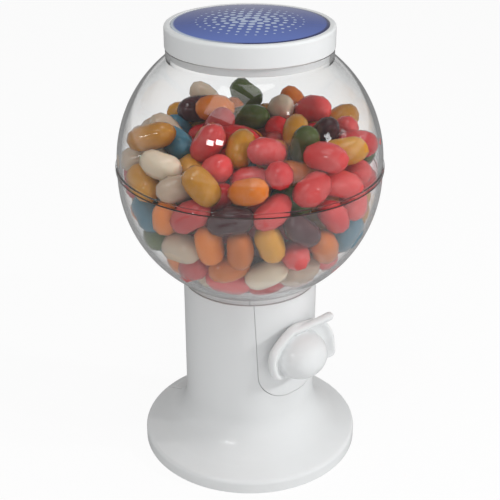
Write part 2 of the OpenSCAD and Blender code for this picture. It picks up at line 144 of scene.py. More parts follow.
def blend_colours(tree, factor, a, b, how="MIX"):
    """A colour Mix node."""
    inputs = {MIX_FACTOR: factor, MIX_A: a, MIX_B: b}
    return place(tree, "ShaderNodeMix", inputs, data_type="RGBA", blend_type=how).outputs[MIX_RESULT]


def spread(tree, value, low, high, to_low=0.0, to_high=1.0):
    """Map a range of values onto another one, clamped at both ends."""
    inputs = {0: value, 1: low, 2: high, 3: to_low, 4: to_high}
    return place(tree, "ShaderNodeMapRange", inputs).outputs[0]


def shader_group(name, takes, gives):
    """An empty shader group with named inputs and outputs. Returns it with its two end nodes."""
    group = bpy.data.node_groups.new(name, "ShaderNodeTree")
    for socket_name, kind, value in takes:
        socket = group.interface.new_socket(socket_name, in_out="INPUT", socket_type=kind)
        socket.default_value = value
    for socket_name, kind in gives:
        group.interface.new_socket(socket_name, in_out="OUTPUT", socket_type=kind)
    return group, group.nodes.new("NodeGroupInput"), group.nodes.new("NodeGroupOutput")


def fill(tree, group, inputs):
    """Place a shader group and fill its inputs."""
    return place(tree, "ShaderNodeGroup", inputs, node_tree=group)


def dress(tree, node, **inputs):
    """Fill a shader's inputs by name, with _ for each space."""
    for name, value in inputs.items():
        connect(tree, node.inputs[name.replace("_", " ")], value)


def bumped(tree, height, strength, depth):
    """A normal that follows a height, in metres of depth."""
    return place(tree, "ShaderNodeBump", {"Height": height, "Strength": strength, "Distance": depth})


def new_material(name):
    """A material with only a Principled shader, and the tree to build on."""
    material = bpy.data.materials.new(name)
    material.use_nodes = True
    tree = material.node_tree
    tree.nodes.clear()
    shader = tree.nodes.new("ShaderNodeBsdfPrincipled")
    output = tree.nodes.new("ShaderNodeOutputMaterial")
    tree.links.new(shader.outputs[0], output.inputs[0])
    return material, tree, shader, output


def grey(value):
    return (value, value, value, 1.0)


# %% [markdown]
# ## Shared surface effects
#
# Injection-moulded plastic is never one flat tone. It has slow flow marks from
# the mould, a very fine orange-peel texture, small scuffs from handling, and a
# little dust that settles on faces that look up. Each effect is a group, built
# once and used by several materials with their own amounts.

# %% Moulded surface: flow marks, orange peel and scuffs
NUMBER, WHOLE, COLOUR = "NodeSocketFloat", "NodeSocketInt", "NodeSocketColor"

moulded, moulded_in, moulded_out = shader_group(
    "moulded_surface",
    [("Colour", COLOUR, grey(0.8)), ("Flow Marks", NUMBER, 0.03), ("Roughness", NUMBER, 0.2),
     ("Scuffs", NUMBER, 0.1), ("Peel", NUMBER, 0.2)],
    [("Colour", COLOUR), ("Roughness", NUMBER), ("Height", NUMBER)])
where = place(moulded, "ShaderNodeTexCoord").outputs["Object"]
flow = place(moulded, "ShaderNodeTexNoise",
             {"Vector": where, "Scale": 28.0, "Detail": 2.0, "Distortion": 0.6})
flow_shade = spread(moulded, flow, 0.2, 0.8, 1.0, 0.0)
flow_dark = times(moulded, flow_shade, moulded_in.outputs["Flow Marks"])
flow_colour = blend_colours(moulded, flow_dark, moulded_in.outputs["Colour"], (0.45, 0.47, 0.48, 1))
streaks = place(moulded, "ShaderNodeMapping", {"Vector": where, "Scale": (900.0, 900.0, 130.0)})
streaks.inputs["Rotation"].default_value = (0.5, 0.9, 0.2)
hair = place(moulded, "ShaderNodeTexNoise", {"Vector": streaks, "Scale": 1.0, "Detail": 1.0})
hairline = spread(moulded, hair, 0.66, 0.74)
patch = place(moulded, "ShaderNodeTexNoise", {"Vector": where, "Scale": 60.0, "Detail": 1.0})
worn = times(moulded, hairline, spread(moulded, patch, 0.5, 0.7))
scuffed = times(moulded, worn, moulded_in.outputs["Scuffs"])
smear = spread(moulded, patch, 0.2, 0.8, -0.02, 0.02)
rough = plus(moulded, plus(moulded, moulded_in.outputs["Roughness"], smear), scuffed)
peel = place(moulded, "ShaderNodeTexNoise", {"Vector": where, "Scale": 420.0, "Detail": 1.0})
peel_height = times(moulded, peel, moulded_in.outputs["Peel"])
dent_height = minus(moulded, peel_height, times(moulded, scuffed, 0.5))
dress(moulded, moulded_out, Colour=flow_colour, Roughness=rough, Height=dent_height)

# %% Dust: specks on faces that look up
dusty, dusty_in, dusty_out = shader_group(
    "settled_dust",
    [("Colour", COLOUR, grey(0.8)), ("Roughness", NUMBER, 0.2), ("Amount", NUMBER, 0.1)],
    [("Colour", COLOUR), ("Roughness", NUMBER)])
where = place(dusty, "ShaderNodeTexCoord")
facing = place(dusty, "ShaderNodeSeparateXYZ", {"Vector": where.outputs["Normal"]}).outputs[2]
looks_up = spread(dusty, facing, 0.4, 0.95)
speck = place(dusty, "ShaderNodeTexVoronoi", {"Vector": where.outputs["Object"], "Scale": 330.0})
dot = spread(dusty, speck.outputs["Distance"], 0.12, 0.05)
film = place(dusty, "ShaderNodeTexNoise", {"Vector": where.outputs["Object"], "Scale": 45.0, "Detail": 3.0})
layer = calculate(dusty, "MAXIMUM", dot, spread(dusty, film, 0.4, 0.75))
cover = times(dusty, looks_up, layer)
settled = times(dusty, cover, dusty_in.outputs["Amount"])
dulled = plus(dusty, dusty_in.outputs["Roughness"], times(dusty, settled, 0.6))
dusted = blend_colours(dusty, settled, dusty_in.outputs["Colour"], (0.55, 0.53, 0.5, 1))
dress(dusty, dusty_out, Colour=dusted, Roughness=dulled)


# %% [markdown]
# ## Materials for the plain mouldings and metal parts
#
# White ABS is bright, slightly cool and glossy, with a soft clear look from a
# thin coat. The knob and shaft are the same resin, handled more often, so they
# carry more scuffs. The steel screws are zinc plated, and the pads are matt.

# %% White plastic
def white_plastic(name, scuffs, dust, colour=(0.80, 0.815, 0.82, 1)):
    material, tree, shader, _ = new_material(name)
    skin = fill(tree, moulded, {"Colour": colour, "Flow Marks": 0.02, "Roughness": 0.31,
                                "Scuffs": scuffs, "Peel": 0.25})
    top = fill(tree, dusty, {"Colour": skin.outputs["Colour"], "Roughness": skin.outputs["Roughness"],
                             "Amount": dust})
    dress(tree, shader, Base_Color=top.outputs["Colour"], Roughness=top.outputs["Roughness"],
          Normal=bumped(tree, skin.outputs["Height"], 0.12, 0.0002), IOR=1.52,
          Subsurface_Weight=0.12, Subsurface_Radius=(0.004, 0.004, 0.004), Subsurface_Scale=0.4,
          Coat_Weight=0.35, Coat_Roughness=0.12)
    return material


shell_white = white_plastic("white_moulding", 0.15, 0.1)
handled_white = white_plastic("white_knob", 0.3, 0.04)
inner_white = white_plastic("white_inside", 0.05, 0.0, (0.74, 0.75, 0.75, 1))


# %% Zinc-plated steel and rubber
def plated_steel():
    material, tree, shader, _ = new_material("plated_steel")
    where = place(tree, "ShaderNodeTexCoord").outputs["Object"]
    grain = place(tree, "ShaderNodeTexNoise", {"Vector": where, "Scale": 1500.0, "Detail": 3.0})
    tone = blend_colours(tree, grain, (0.52, 0.53, 0.55, 1), (0.7, 0.7, 0.69, 1))
    dress(tree, shader, Base_Color=tone, Roughness=spread(tree, grain, 0.3, 0.7, 0.25, 0.45),
          Metallic=1.0)
    return material


def matt_rubber():
    material, tree, shader, _ = new_material("matt_rubber")
    skin = fill(tree, moulded, {"Colour": (0.035, 0.036, 0.038, 1), "Flow Marks": 0.04, "Roughness": 0.75,
                                "Scuffs": 0.2, "Peel": 1.0})
    dress(tree, shader, Base_Color=skin.outputs["Colour"], Roughness=skin.outputs["Roughness"],
          Normal=bumped(tree, skin.outputs["Height"], 0.4, 0.0002))
    return material


steel_finish = plated_steel()
rubber_finish = matt_rubber()


# %% [markdown]
# ## Clear plastic
#
# Clear styrene bends light like glass, but a lamp's shadow rays can't follow a
# bent path, so the beans inside would stay black. Light Path gives those rays a
# plain transparent surface instead. The lower half of the globe is hazier than
# the upper one: a little of its light is scattered at the surface, which a
# Transmission Weight just under 1 does.

# %% Clear plastic with a chosen haze
def clear_plastic(name, haze, tint):
    material, tree, shader, output = new_material(name)
    skin = fill(tree, moulded, {"Colour": tint, "Flow Marks": 0.0, "Roughness": 0.02,
                                "Scuffs": 0.05, "Peel": 0.1})
    dress(tree, shader, Base_Color=skin.outputs["Colour"], Roughness=skin.outputs["Roughness"],
          IOR=1.5, Transmission_Weight=1.0 - haze)
    path = place(tree, "ShaderNodeLightPath")
    unseen = calculate(tree, "MAXIMUM", path.outputs["Is Shadow Ray"], path.outputs["Is Diffuse Ray"])
    open_air = place(tree, "ShaderNodeBsdfTransparent", {"Color": grey(0.96)})
    mix = place(tree, "ShaderNodeMixShader", {0: unseen, 1: shader, 2: open_air})
    tree.links.new(mix.outputs[0], output.inputs[0])
    return material


clear_upper = clear_plastic("clear_upper_half", 0.003, (0.99, 0.995, 0.995, 1))
clear_lower = clear_plastic("clear_lower_half", 0.03, (0.98, 0.985, 0.985, 1))

# %% Dress the nodes whose shape is already right
FINISHES = {
    "pedestal": shell_white, "front_panel": shell_white, "foot_cover": inner_white,
    "lid": shell_white, "hopper": inner_white, "wheel_housing": inner_white, "chute": shell_white,
    "knob": handled_white, "drive_shaft": inner_white, "dispensing_wheel": inner_white,
    "thrust_washer": steel_finish, "wheel_screw": steel_finish, "housing_screws": steel_finish,
    "cover_screws": steel_finish, "foot_pads": rubber_finish,
    "lower_globe": clear_lower, "upper_globe": clear_upper,
}
for name, material in FINISHES.items():
    nodes[name].data.materials.clear()
    nodes[name].data.materials.append(material)
print("dressed", len(FINISHES), "nodes")

# %% [markdown]
# ## The heap of jelly beans
#
# Beans that are placed by hand always look placed. Here they are dropped: each
# one starts above the globe at a random angle, and Blender's rigid bodies let
# it fall, roll and settle. The solver likes objects about a metre long, so the
# drop runs a hundred times larger than life. The seed is fixed, and the physics
# is taken away afterwards, so the heap is the same on every run.

# %% Measurements of the globe and of a bean
lower_box, upper_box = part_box("lower_globe"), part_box("upper_globe")
hopper_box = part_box("hopper")
WALL = 0.0018
BELT = 0.0025
globe_radius = lower_box[1].x
globe_inside = globe_radius - WALL
seam = lower_box[1].z
lower_centre, upper_centre = seam - BELT, seam + BELT
BEAN_LENGTH = 0.0170
BEAN_THICK = 0.0114
BEAN_BOW = 0.0030
BEAN_COUNT = 236
BEAN_SEED = 7
BEAN_SIDES, BEAN_RINGS = 10, 9
DROP_SCALE = 100.0
DROP_PULL = -392.0
print("globe inside radius", round(globe_inside, 4), "seam at", round(seam, 4))


# %% The bowl that catches the beans
def bowl_outline():
    """[radius, height] up the inside of the hopper and the globe, and on into a tall chimney."""
    throat, throat_floor, shoulder = 0.009, hopper_box[1].z - 0.0105, 0.0235
    points = [(0.0001, throat_floor), (throat, throat_floor), (shoulder, hopper_box[1].z),
              (hopper_box[1].x - 0.0012, hopper_box[1].z)]
    start = -math.asin((lower_centre - hopper_box[1].z + 0.0014) / globe_inside)
    for i in range(25):
        a = start * (1 - i / 24)
        points.append((globe_inside * math.cos(a), lower_centre + globe_inside * math.sin(a)))
    for i in range(9):
        a = math.radians(28) * i / 8
        points.append((globe_inside * math.cos(a), upper_centre + globe_inside * math.sin(a)))
    points.append((points[-1][0], 1.2))
    return points


def bowl_mesh(outline, size, sides=64):
    mesh = bpy.data.meshes.new("bowl")
    grow = size / math.cos(math.pi / sides)
    turns = [2 * math.pi * i / sides for i in range(sides)]
    points = [(r * math.cos(a) * grow, r * math.sin(a) * grow, z * size) for a in turns for r, z in outline]
    n = len(outline)
    faces = [(i * n + j, i * n + j + 1, (i + 1) % sides * n + j + 1, (i + 1) % sides * n + j)
             for i in range(sides) for j in range(n - 1)]
    mesh.from_pydata(points, [], faces)
    return mesh


# %% The shape that the solver uses for one bean
def bean_hull(size):
    """Convex hull of three balls on a shallow arc."""
    reach, radius = (BEAN_LENGTH - BEAN_THICK) / 2, BEAN_THICK / 2
    hull = bmesh.new()
    for x, y in ((-reach, 0), (0, BEAN_BOW * 0.7), (reach, 0)):
        for i in range(6):
            tilt = math.pi * (i + 0.5) / 6
            for j in range(10):
                turn = 2 * math.pi * j / 10
                around = radius * math.sin(tilt)
                hull.verts.new((size * (x + around * math.cos(turn)), size * (y + radius * math.cos(tilt)),
                                size * around * math.sin(turn)))
    bmesh.ops.convex_hull(hull, input=hull.verts)
    bmesh.ops.delete(hull, geom=[v for v in hull.verts if not v.link_faces], context="VERTS")
    mesh = bpy.data.meshes.new("bean_hull")
    hull.to_mesh(mesh)
    hull.free()
    return mesh


# %% Where each bean starts
def starting_places(count, spacing=0.0195):
    """A column of loose layers inside the globe and the chimney above it."""
    places, z = [], 0.10
    while len(places) < count:
        reach = 0.032 if places else 0.02
        steps = int(reach / spacing)
        for i in range(-steps, steps + 1):
            for j in range(-steps, steps + 1):
                if math.hypot(i, j) * spacing <= reach:
                    places.append((i * spacing, j * spacing, z))
        z += spacing
    return places[:count]


# %% Drop the beans and let them settle
def drop_beans(frames):
    size = DROP_SCALE
    chance = random.Random(BEAN_SEED)
    falling = bpy.data.collections.new("falling")
    scene.collection.children.link(falling)
    bpy.ops.rigidbody.world_add()
    physics = scene.rigidbody_world
    adjust(physics, collection=falling, substeps_per_frame=8, solver_iterations=16)
    physics.point_cache.frame_end = frames
    scene.gravity = (0, 0, DROP_PULL)
    scene.render.fps = 48
    bowl = bpy.data.objects.new("bowl", bowl_mesh(bowl_outline(), size))
    falling.objects.link(bowl)
    adjust(bowl.rigid_body, type="PASSIVE", collision_shape="MESH", mesh_source="BASE",
           friction=0.25, use_margin=True, collision_margin=0.01)
    hull = bean_hull(size)
    beans = []
    for x, y, z in starting_places(BEAN_COUNT):
        bean = bpy.data.objects.new("bean", hull)
        falling.objects.link(bean)
        shift = [chance.uniform(-0.001, 0.001) for _ in range(2)]
        bean.location = ((x + shift[0]) * size, (y + shift[1]) * size, z * size)
        bean.rotation_euler = [chance.uniform(0, 2 * math.pi) for _ in range(3)]
        adjust(bean.rigid_body, collision_shape="CONVEX_HULL", friction=0.35, restitution=0.05,
               linear_damping=0.1, angular_damping=0.3, use_margin=True, collision_margin=0.004)
        beans.append(bean)
    for step in range(1, frames + 1):
        scene.frame_set(step)
    settled = [bean.matrix_world.copy() for bean in beans]
    bpy.ops.rigidbody.world_remove()
    for thing in beans + [bowl]:
        bpy.data.objects.remove(thing)
    bpy.data.collections.remove(falling)
    scene.frame_set(1)
    return [(m.translation / size, m.to_quaternion()) for m in settled]


SETTLING_FRAMES = 60
resting = drop_beans(SETTLING_FRAMES)
print("beans:", len(resting), "top of the heap:", round(max(p.z for p, _ in resting), 4))

# %% [markdown]
# ## From resting places to a mesh for each colour
#
# The drop gives a place and a turn for each bean. Geometry Nodes does the rest:
# one bean is a short bowed curve with a round section that swells and closes at
# both ends, and it is set on the points of one colour. The tree ends in real
# geometry, because an exported model can't hold instances.

# %% Points that carry colour, turn, plumpness and tint
BEAN_COLOURS = ["beans_red", "beans_coral", "beans_orange", "beans_amber",
                "beans_green", "beans_teal", "beans_cream", "beans_plum"]
BEAN_COLOUR_SEED = 15591
BEAN_SHARES = [0.17, 0.19, 0.13, 0.15, 0.07, 0.08, 0.12, 0.09]


def bean_points(places):
    chance = random.Random(BEAN_SEED + 1)
    mesh = bpy.data.meshes.new("bean_points")
    mesh.from_pydata([p for p, _ in places], [], [])
    kinds = random.Random(BEAN_COLOUR_SEED).choices(range(len(BEAN_COLOURS)), BEAN_SHARES, k=len(places))
    plump = [[chance.uniform(0.93, 1.07), chance.uniform(0.94, 1.05), chance.uniform(0.94, 1.05)]
             for _ in places]
    tints = [chance.random() for _ in places]
    for name, kind, field, values in (
            ("kind", "INT", "value", kinds), ("tint", "FLOAT", "value", tints),
            ("turn", "QUATERNION", "value", [v for _, q in places for v in q]),
            ("plump", "FLOAT_VECTOR", "vector", [v for p in plump for v in p])):
        mesh.attributes.new(name, kind, "POINT").data.foreach_set(field, values)
    return mesh


bean_cloud = bean_points(resting)


# %% The tree that grows the beans of one colour
def geometry_tree(name, takes):
    tree = bpy.data.node_groups.new(name, "GeometryNodeTree")
    tree.interface.new_socket("Geometry", in_out="INPUT", socket_type="NodeSocketGeometry")
    tree.interface.new_socket("Geometry", in_out="OUTPUT", socket_type="NodeSocketGeometry")
    sockets = {}
    for socket_name, kind, value in takes:
        socket = tree.interface.new_socket(socket_name, in_out="INPUT", socket_type=kind)
        if value is not None:
            socket.default_value = value
        sockets[socket_name] = socket.identifier
    return tree, tree.nodes.new("NodeGroupInput").outputs, tree.nodes.new("NodeGroupOutput").inputs, sockets


def attribute(tree, name, kind):
    return place(tree, "GeometryNodeInputNamedAttribute", {"Name": name}, data_type=kind).outputs[0]


def bean_tree():
    tree, given, result, sockets = geometry_tree("jelly_beans", [
        ("Kind", WHOLE, 0), ("Length", NUMBER, 0.015), ("Thickness", NUMBER, 0.01), ("Bow", NUMBER, 0.001),
        ("Sides", WHOLE, 10), ("Rings", WHOLE, 8), ("Finish", "NodeSocketMaterial", None)])
    spine = place(tree, "GeometryNodeCurvePrimitiveLine", {"Start": (-1.0, 0, 0), "End": (1.0, 0, 0)})
    spine = place(tree, "GeometryNodeResampleCurve", {"Curve": spine, "Count": given["Rings"]})
    along = place(tree, "GeometryNodeInputPosition").outputs[0]
    along = place(tree, "ShaderNodeSeparateXYZ", {"Vector": along}).outputs[0]
    reach = calculate(tree, "SINE", times(tree, along, math.pi / 2 * 0.965))
    power = calculate(tree, "POWER", calculate(tree, "ABSOLUTE", reach), 3.2)
    swell = calculate(tree, "POWER", minus(tree, 1.0, power), 0.4)
    swell = times(tree, swell, divided(tree, given["Thickness"], 2.0))
    spine = place(tree, "GeometryNodeStoreNamedAttribute",
                  {"Geometry": spine, "Name": "swell", "Value": swell}, data_type="FLOAT")
    x = times(tree, reach, divided(tree, given["Length"], 2.0))
    square = times(tree, reach, reach)
    y = times(tree, minus(tree, 0.4, square), given["Bow"])
    spot = place(tree, "ShaderNodeCombineXYZ", {"X": x, "Y": y})
    spine = place(tree, "GeometryNodeSetPosition", {"Geometry": spine, "Position": spot})
    section = place(tree, "GeometryNodeCurvePrimitiveCircle", {"Resolution": given["Sides"], "Radius": 1.0})
    body = place(tree, "GeometryNodeCurveToMesh", {
        "Curve": spine, "Profile Curve": section,
        "Scale": attribute(tree, "swell", "FLOAT"), "Fill Caps": True})
    chosen = place(tree, "FunctionNodeCompare", {2: attribute(tree, "kind", "INT"), 3: given["Kind"]},
                   data_type="INT", operation="EQUAL")
    heap = place(tree, "GeometryNodeInstanceOnPoints", {
        "Points": given["Geometry"], "Selection": chosen, "Instance": body,
        "Rotation": attribute(tree, "turn", "QUATERNION"), "Scale": attribute(tree, "plump", "FLOAT_VECTOR")})
    real = place(tree, "GeometryNodeRealizeInstances", {"Geometry": heap})
    painted = place(tree, "GeometryNodeSetMaterial", {"Geometry": real, "Material": given["Finish"]})
    tree.links.new(painted.outputs[0], result[0])
    return tree, sockets


def work_on(mesh):
    """A scene object that carries a mesh while modifiers work on it."""
    worker = bpy.data.objects.new("worker", mesh)
    scene.collection.objects.link(worker)
    return worker


def plain_result(worker):
    """The mesh that the modifiers made, as a plain mesh. The worker is removed."""
    graph = bpy.context.evaluated_depsgraph_get()
    mesh = bpy.data.meshes.new_from_object(
        worker.evaluated_get(graph), preserve_all_data_layers=True, depsgraph=graph)
    bpy.data.objects.remove(worker)
    return mesh


def grown_mesh(seed, tree, sockets, inputs):
    """Run a geometry tree on a seed mesh and give its result as a plain mesh."""
    worker = work_on(seed)
    grow = worker.modifiers.new("grow", "NODES")
    grow.node_group = tree
    for name, value in inputs.items():
        grow[sockets[name]] = value
    return plain_result(worker)


def add_piece(name, mesh, body, slot, *replaced):
    """Put a finished mesh in the scene as one piece of the machine."""
    piece = bpy.data.objects.new(name, mesh)
    scene.collection.objects.link(piece)
    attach(piece, body)
    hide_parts(*replaced)
    print(name, "faces:", len(mesh.polygons))


# %% [markdown]
# ## The sugar shell of a jelly bean
#
# A jelly bean is a soft jelly with a thin polished sugar shell. Light goes a
# little way in, the colour is slightly mottled, no two beans have quite the
# same shade, and the polish is dulled in places where beans have rubbed.

# %% Sugar shell: mottled colour with a shade of its own for each bean
shell, shell_in, shell_out = shader_group(
    "sugar_shell",
    [("Colour", COLOUR, grey(0.5)), ("Shade", NUMBER, 0.5), ("Mottle", NUMBER, 0.3),
     ("Roughness", NUMBER, 0.2)],
    [("Colour", COLOUR), ("Roughness", NUMBER), ("Height", NUMBER)])
where = place(shell, "ShaderNodeTexCoord").outputs["Object"]
cloud = place(shell, "ShaderNodeTexNoise", {"Vector": where, "Scale": 260.0, "Detail": 3.0, "Roughness": 0.6})
paler = blend_colours(shell, 0.35, shell_in.outputs["Colour"], (1, 0.95, 0.9, 1))
deeper = blend_colours(shell, 1.0, shell_in.outputs["Colour"], (0.62, 0.55, 0.55, 1), "MULTIPLY")
own = blend_colours(shell, shell_in.outputs["Shade"], deeper, shell_in.outputs["Colour"])
mottle = times(shell, spread(shell, cloud, 0.45, 0.75), shell_in.outputs["Mottle"])
shell_colour = blend_colours(shell, mottle, own, paler)
rubbed = place(shell, "ShaderNodeTexNoise", {"Vector": where, "Scale": 120.0, "Detail": 2.0})
dull = plus(shell, shell_in.outputs["Roughness"],
                 spread(shell, rubbed, 0.5, 0.7, 0.0, 0.1))
dress(shell, shell_out, Colour=shell_colour, Roughness=dull, Height=cloud)


# %% One material for each bean colour
def bean_finish(name, colour, glow):
    material, tree, shader, _ = new_material(name)
    shade = place(tree, "ShaderNodeAttribute", attribute_name="tint")
    skin = fill(tree, shell, {"Colour": colour, "Shade": shade.outputs["Fac"],
                              "Mottle": 0.12, "Roughness": 0.15})
    dress(tree, shader, Base_Color=skin.outputs["Colour"], Roughness=skin.outputs["Roughness"],
          Normal=bumped(tree, skin.outputs["Height"], 0.15, 0.0003), IOR=1.4, Subsurface_Weight=glow,
          Subsurface_Radius=(1.0, 0.5, 0.35), Subsurface_Scale=0.002, Coat_Weight=0.4, Coat_Roughness=0.05)
    return material


BEAN_SHADES = {
    "beans_red": ((0.68, 0.01, 0.015, 1), 0.25), "beans_coral": ((0.76, 0.075, 0.075, 1), 0.3),
    "beans_orange": ((0.80, 0.22, 0.014, 1), 0.3), "beans_amber": ((0.66, 0.31, 0.025, 1), 0.3),
    "beans_green": ((0.085, 0.14, 0.02, 1), 0.2), "beans_teal": ((0.065, 0.22, 0.31, 1), 0.25),
    "beans_cream": ((0.76, 0.64, 0.48, 1), 0.35), "beans_plum": ((0.06, 0.008, 0.014, 1), 0.2)}
bean_finishes = {name: bean_finish(name, *BEAN_SHADES[name]) for name in BEAN_COLOURS}

# %% Grow the beans, one piece for each colour
bean_growth, bean_sockets = bean_tree()
for number, name in enumerate(BEAN_COLOURS):
    heap = grown_mesh(bean_cloud, bean_growth, bean_sockets, {
        "Kind": number, "Length": BEAN_LENGTH, "Thickness": BEAN_THICK, "Bow": BEAN_BOW,
        "Sides": BEAN_SIDES, "Rings": BEAN_RINGS, "Finish": bean_finishes[name]})
    heap.shade_smooth()
    add_piece(name + "_heap", heap, "machine", name, name)

# %% [markdown]
# ## Turned mouldings
#
# The two halves of the globe, the lid and its label are round about one axis.
# Each starts as an outline of radius and height, whose corners are rounded as a
# mould maker rounds them. One geometry tree turns any such outline into a
# closed solid: it lays a grid of rings, gives each ring the outline's points and
# swings it round the axis.

# %% Outlines with rounded corners
def rounded(corners, steps=4):
    """[radius, height, fillet] corners of a closed outline, with each fillet drawn as a small arc."""
    points = []
    for i, (r, z, fillet) in enumerate(corners):
        here = Vector((r, z))
        back = Vector(corners[i - 1][:2]) - here
        ahead = Vector(corners[(i + 1) % len(corners)][:2]) - here
        if not fillet or back.length < 1e-7 or ahead.length < 1e-7:
            points.append((r, z))
            continue
        half = back.angle(ahead) / 2
        cut = min(fillet / math.tan(half), back.length * 0.45, ahead.length * 0.45)
        start, end = here + back.normalized() * cut, here + ahead.normalized() * cut
        centre = here + (back.normalized() + ahead.normalized()).normalized() * cut / math.cos(half)
        for k in range(steps + 1):
            swing = (start - centre).normalized().slerp((end - centre).normalized(), k / steps)
            points.append(tuple(centre + swing * (start - centre).length))
    return points


def sweep(centre, radius, first, last, steps):
    """Corners along an arc about a point on the axis, in degrees from the horizontal."""
    turns = [math.radians(first + (last - first) * i / steps) for i in range(steps + 1)]
    return [(radius * math.cos(a), centre + radius * math.sin(a), 0) for a in turns]


def outline_mesh(name, points):
    mesh = bpy.data.meshes.new(name)
    closed = list(points) + [points[0]]
    mesh.from_pydata([(max(r, 0.0), 0, z) for r, z in closed], [], [])
    return mesh


# %% The tree that turns an outline round the axis
def turning_tree():
    tree, given, result, sockets = geometry_tree("turned_moulding", [
        ("Sides", WHOLE, 128), ("Finish", "NodeSocketMaterial", None)])
    size = place(tree, "GeometryNodeAttributeDomainSize", {"Geometry": given["Geometry"]})
    count = size.outputs["Point Count"]
    rings = plus(tree, given["Sides"], 1.0)
    grid = place(tree, "GeometryNodeMeshGrid", {"Vertices X": rings, "Vertices Y": count})
    index = place(tree, "GeometryNodeInputIndex").outputs[0]
    ring = calculate(tree, "FLOOR", divided(tree, plus(tree, index, 0.5), count))
    step = minus(tree, index, times(tree, ring, count))
    place_of = place(tree, "GeometryNodeInputPosition").outputs[0]
    spot = place(tree, "GeometryNodeSampleIndex",
                 {"Geometry": given["Geometry"], "Value": place_of, "Index": step}, data_type="FLOAT_VECTOR")
    out = place(tree, "ShaderNodeSeparateXYZ", {"Vector": spot})
    angle = divided(tree, times(tree, ring, 2 * math.pi), given["Sides"])
    x = times(tree, out, calculate(tree, "COSINE", angle))
    y = times(tree, out, calculate(tree, "SINE", angle))
    swung = place(tree, "ShaderNodeCombineXYZ", {"X": x, "Y": y, "Z": out.outputs[2]})
    skin = place(tree, "GeometryNodeSetPosition", {"Geometry": grid, "Position": swung})
    closed = place(tree, "GeometryNodeMergeByDistance", {"Geometry": skin, "Distance": 1e-6})
    real = place(tree, "GeometryNodeRealizeInstances", {"Geometry": closed})
    painted = place(tree, "GeometryNodeSetMaterial", {"Geometry": real, "Material": given["Finish"]})
    tree.links.new(painted.outputs[0], result[0])
    return tree, sockets


turning, turning_sockets = turning_tree()


def smooth_mesh(mesh, sharp_degrees, weld=0.0):
    """Weld, face outwards, shade smooth, keep hard edges and weigh the normals by face area."""
    work = bmesh.new()
    work.from_mesh(mesh)
    if weld:
        bmesh.ops.remove_doubles(work, verts=work.verts[:], dist=weld)
    bmesh.ops.recalc_face_normals(work, faces=work.faces[:])
    work.to_mesh(mesh)
    work.free()
    mesh.shade_smooth()
    mesh.set_sharp_from_angle(angle=math.radians(sharp_degrees))
    worker = work_on(mesh)
    weigh = worker.modifiers.new("weigh", "WEIGHTED_NORMAL")
    weigh.keep_sharp = True
    return plain_result(worker)


def turned(name, corners, sides, finish, body, slot, node):
    grown = grown_mesh(outline_mesh(name, rounded(corners)), turning, turning_sockets,
                       {"Sides": sides, "Finish": finish})
    add_piece(name, smooth_mesh(grown, 40), body, slot, node)


# %% The lower half of the globe, from the neck to the belt
neck = 0.0295
neck_inside = neck - WALL
spigot_top = lower_box[0].z + 0.004
neck_angle = math.degrees(math.acos(neck / globe_radius))
floor_angle = math.degrees(math.asin((lower_centre - spigot_top) / globe_inside))
lower_outline = (
    [(neck_inside, lower_box[0].z, 0.0003), (neck, lower_box[0].z, 0.0004)]
    + sweep(lower_centre, globe_radius, -neck_angle, 0, 72)
    + [(globe_radius, seam, 0.0003), (globe_inside, seam, 0.0002)]
    + sweep(lower_centre, globe_inside, 0, -floor_angle, 72)
    + [(neck_inside, spigot_top, 0.0004)])
turned("lower_half", lower_outline, 160, clear_lower, "machine", "clear_plastic", "lower_globe")

# %% The upper half, with its seam lip and collar
LIP_HEIGHT = 0.0022
lip_radius = upper_box[1].x
collar = 0.0342
mouth = collar - WALL
collar_top = upper_box[1].z
collar_angle = math.degrees(math.acos(collar / globe_radius))
mouth_angle = math.degrees(math.acos(mouth / globe_inside))
upper_outline = (
    [(globe_inside, seam, 0.0002), (lip_radius, seam, 0.0003), (lip_radius, seam + LIP_HEIGHT, 0.0004),
     (globe_radius, seam + LIP_HEIGHT, 0.0002)]
    + sweep(upper_centre, globe_radius, 0, collar_angle, 72)
    + [(collar, collar_top, 0.0003), (mouth, collar_top, 0.0003)]
    + sweep(upper_centre, globe_inside, mouth_angle, 0, 72))
turned("upper_half", upper_outline, 160, clear_upper, "machine", "clear_plastic", "upper_globe")

# %% The lid: a shallow cap with a soft shoulder and a seat for the label
lid_box, label_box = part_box("lid"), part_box("lid_label")
lid_radius, lid_top = lid_box[1].x, lid_box[1].z
label_radius, label_floor = label_box[1].x, label_box[0].z
plug = mouth - 0.00025
lid_outline = (
    [(plug, collar_top, 0.0002), (lid_radius, collar_top, 0.0006), (lid_radius, lid_top, 0.0025),
     (label_radius + 0.00015, lid_top, 0.0002), (label_radius + 0.00015, label_floor, 0),
     (0, label_floor, 0), (0, label_floor - WALL, 0), (plug - WALL, label_floor - WALL, 0.0008),
     (plug - WALL, lid_box[0].z, 0.0003), (plug, lid_box[0].z, 0.0004)])
turned("lid_cap", lid_outline, 160, shell_white, "lid", "white_plastic", "lid")

# %% [markdown]
# ## The label
#
# A round print under a drop of clear resin. The resin stands up in a shallow
# dome, so the whole label catches the light as one lens. The print is a plain
# field of dots in rings, pale on blue, drawn by the material from the distance
# and the angle about the label's centre. The blue ground is painted paler
# towards the front left as painted light. The rim is painted pale on its left
# side as a painted highlight.

# %% The label's print, with painted light on its ground and rim
LABEL_PITCH = 0.0036
LARGEST_DOT, SMALLEST_DOT = 0.00165, 0.00045
DEEP_BLUE, PAINTED_LIT_BLUE = (0.010, 0.036, 0.26, 1), (0.10, 0.165, 0.50, 1)


def from_centre(tree, a, b):
    """How far a point is from the centre, from its two coordinates."""
    return calculate(tree, "SQRT", plus(tree, times(tree, a, a),
                                             times(tree, b, b)))


